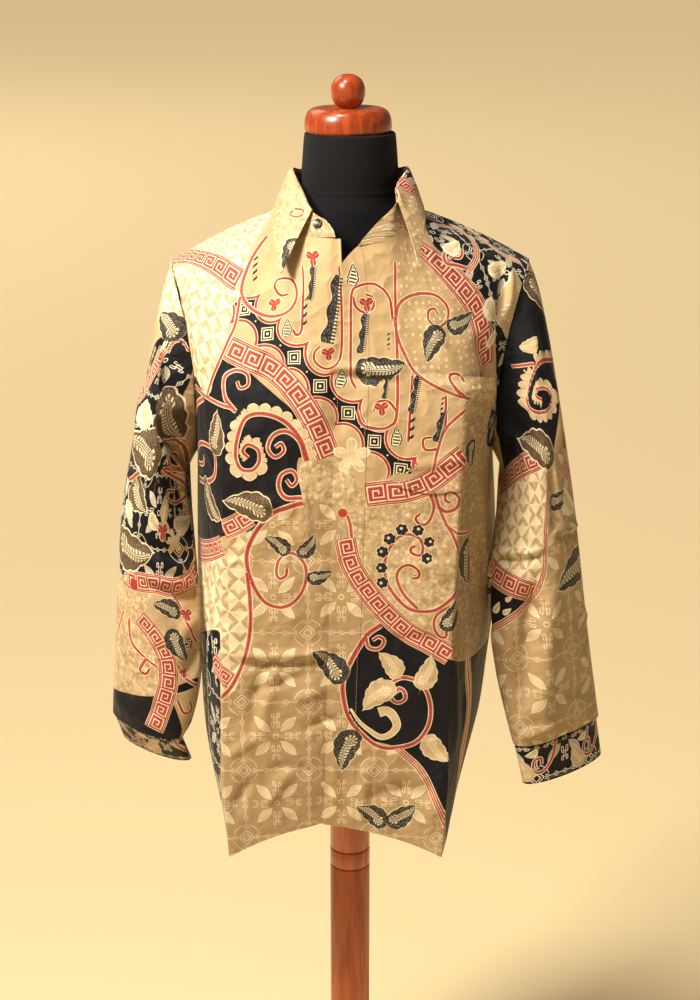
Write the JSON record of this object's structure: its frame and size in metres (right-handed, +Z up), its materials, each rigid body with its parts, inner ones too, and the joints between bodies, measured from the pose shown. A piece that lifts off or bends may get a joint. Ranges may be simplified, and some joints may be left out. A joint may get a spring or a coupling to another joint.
{
  "type": "batik shirt on dress form",
  "caption": "Long-sleeved batik shirt with a pointed collar, concealed front placket and chest pocket, on a limbless black dress form with a turned wooden cap, post and round base.",
  "frame": {"origin": "centre of the base's underside, on the axis of the post, on the floor", "axes": "+Z up along the post, -Y is the shirt's front, +X is the wearer's left"},
  "size_m": [0.6066, 0.38, 1.5667],
  "materials": {
    "batik": "smooth cotton with a soft sheen, figured in tan, black, brick red and cream",
    "button": "polished dark button",
    "jersey": "matt black knitted cover",
    "orange_wood": "gloss lacquer on orange-red stained wood",
    "brown_wood": "gloss lacquer on reddish-brown stained wood"
  },
  "bodies": {
    "root": {"front_left": "batik", "front_right": "batik", "fly_band": "batik", "back": "batik", "sleeve_left": "batik", "sleeve_right": "batik", "cuff_left": "batik", "cuff_right": "batik", "collar_stand": "batik", "collar_leaf": "batik", "pocket": "batik", "collar_button": "button", "cuff_button_left": "button", "cuff_button_right": "button", "torso": "jersey", "neck_cap": "orange_wood", "finial": "orange_wood", "post": "brown_wood", "base": "brown_wood"}
  },
  "joints": []
}
